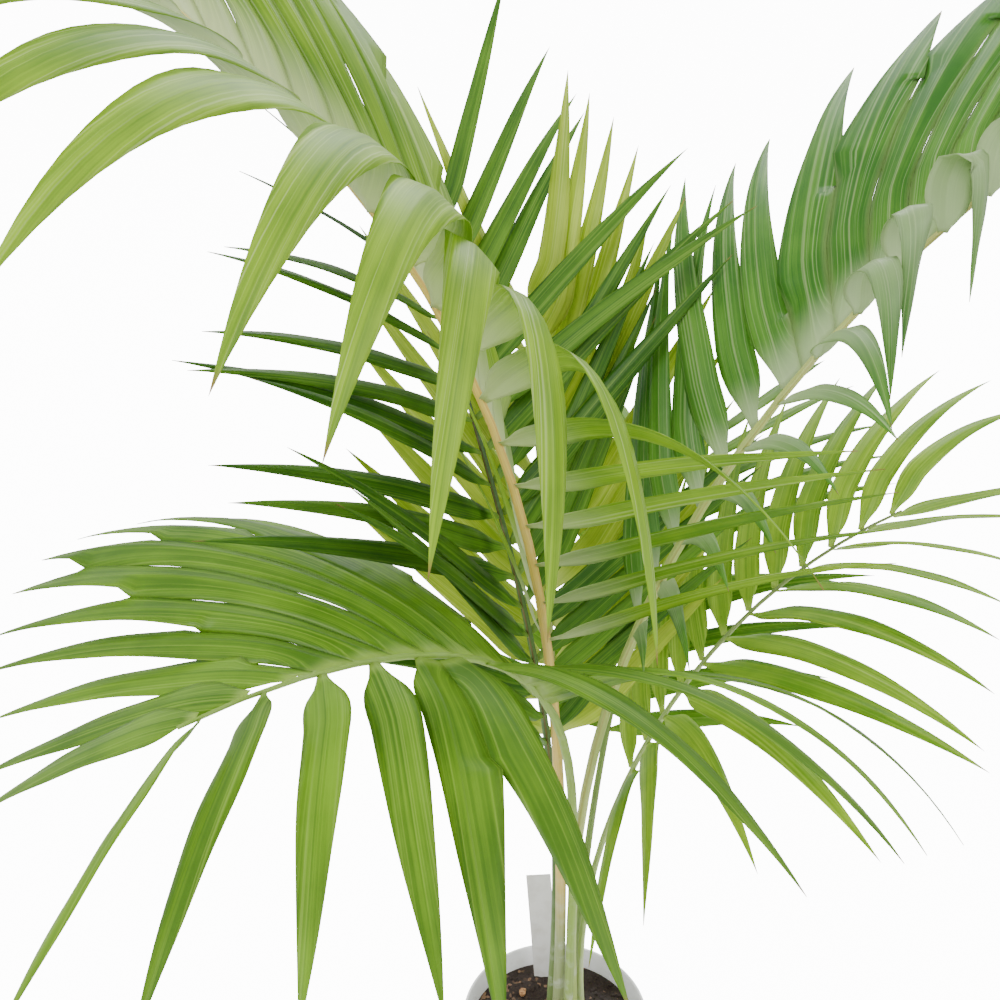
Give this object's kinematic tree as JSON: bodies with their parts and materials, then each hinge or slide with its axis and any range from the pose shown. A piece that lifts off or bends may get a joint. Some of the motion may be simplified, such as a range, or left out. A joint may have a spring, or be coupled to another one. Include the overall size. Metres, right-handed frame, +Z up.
{
  "type": "potted palm",
  "caption": "Young feather palm standing in a round white nursery pot, with long arching fronds of narrow leaflets, dark potting soil, bark chips and a blank plant label.",
  "frame": {"origin": "middle of the flat underside of the pot, where it rests", "axes": "+Z up, -Y towards the viewer, +X to the viewer's right; the highest frond arches towards -X and -Y"},
  "size_m": [1.147, 1.0013, 1.2564],
  "materials": {
    "pot_plastic": "gloss",
    "potting_soil": "matte",
    "label_plastic": "satin",
    "bark": "matte",
    "straw_stalk": "satin",
    "dark_stalk": "satin",
    "green_stalk": "satin",
    "green_leaf": "satin",
    "dark_leaf": "satin",
    "young_leaf": "satin"
  },
  "bodies": {
    "root": {"arching_leaflets_left": "green_leaf", "arching_leaflets_right": "green_leaf", "arching_midrib": "straw_stalk", "back_left_leaflets_left": "dark_leaf", "back_left_leaflets_right": "dark_leaf", "back_left_midrib": "dark_stalk", "back_right_leaflets_left": "dark_leaf", "back_right_leaflets_right": "dark_leaf", "back_right_midrib": "green_stalk", "back_young_leaflets_left": "young_leaf", "back_young_leaflets_right": "young_leaf", "back_young_midrib": "green_stalk", "bark_chip_1": "bark", "bark_chip_2": "bark", "bark_chip_3": "bark", "bark_chip_4": "bark", "bark_chip_5": "bark", "bark_chip_6": "bark", "bark_chip_7": "bark", "front_low_leaflets_left": "green_leaf", "front_low_leaflets_right": "green_leaf", "front_low_midrib": "green_stalk", "plant_label": "label_plastic", "pot": "pot_plastic", "right_high_leaflets_left": "green_leaf", "right_high_leaflets_right": "green_leaf", "right_high_midrib": "green_stalk", "right_low_leaflets_left": "green_leaf", "right_low_leaflets_right": "green_leaf", "right_low_midrib": "green_stalk", "soil": "potting_soil"}
  },
  "joints": []
}
